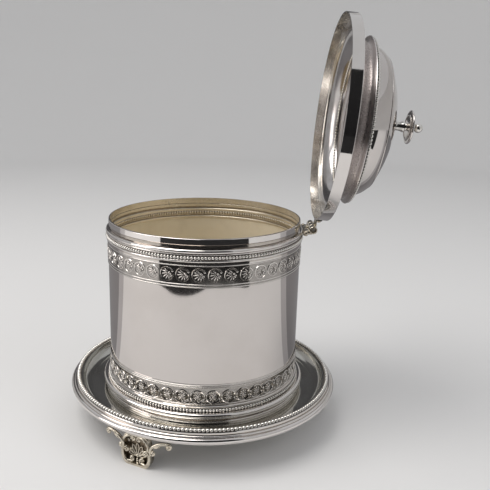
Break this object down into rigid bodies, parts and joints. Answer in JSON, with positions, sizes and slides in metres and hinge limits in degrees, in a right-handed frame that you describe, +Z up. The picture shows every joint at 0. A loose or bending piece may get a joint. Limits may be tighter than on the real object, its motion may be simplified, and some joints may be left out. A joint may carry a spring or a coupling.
{
  "type": "biscuit jar",
  "caption": "Round footed biscuit jar in silver plate with a hinged domed lid, beaded borders and a fixed tray on three scroll feet.",
  "frame": {"origin": "on the jar's axis, in the plane of the three soles", "axes": "+Z up along the jar's axis, +X towards the hinge, +Y along the hinge pin; the picture's camera stands on the -Y side"},
  "size_m": [0.2653, 0.2116, 0.3109],
  "materials": {
    "polished_silver": "polished silver plate, warm mirror with fine wiping marks",
    "beaded_silver": "die-rolled silver plate, bright on top and oxidised in the hollows",
    "cast_silver": "cast and plated, dark in the recesses",
    "satin_inside": "satin silver plate, warm from light tarnish",
    "fastener_steel": "plain turned metal"
  },
  "bodies": {
    "jar": {"body_drum": "polished_silver", "body_bottom": "satin_inside", "mouth_bezel": "polished_silver", "rim_moulding": "polished_silver", "rim_bead_wire": "beaded_silver", "upper_frieze_band": "beaded_silver", "lower_frieze_band": "beaded_silver", "base_moulding": "polished_silver", "base_bead_wire": "beaded_silver", "tray_dish": "polished_silver", "tray_rim": "polished_silver", "tray_bead_wire": "beaded_silver", "foot_right": "cast_silver", "foot_back": "cast_silver", "foot_front_left": "cast_silver", "hinge_bracket": "cast_silver", "hinge_pin": "fastener_steel"},
    "lid": {"lid_skirt": "polished_silver", "lid_shoulder": "polished_silver", "lid_collar": "polished_silver", "lid_bead_wire": "beaded_silver", "lid_dome": "polished_silver", "finial_stem": "polished_silver", "finial_saucer": "polished_silver", "finial_ball": "polished_silver", "finial_stud": "fastener_steel", "finial_washer": "fastener_steel", "finial_nut": "fastener_steel", "hinge_lid_leaf": "cast_silver"}
  },
  "joints": [
    {"name": "lid_hinge", "type": "hinge", "parent": "jar", "child": "lid", "pos_m": [0.08275, 0, 0.1539], "axis": [0, 1, 0], "range_deg": [-95.35, 0]}
  ]
}
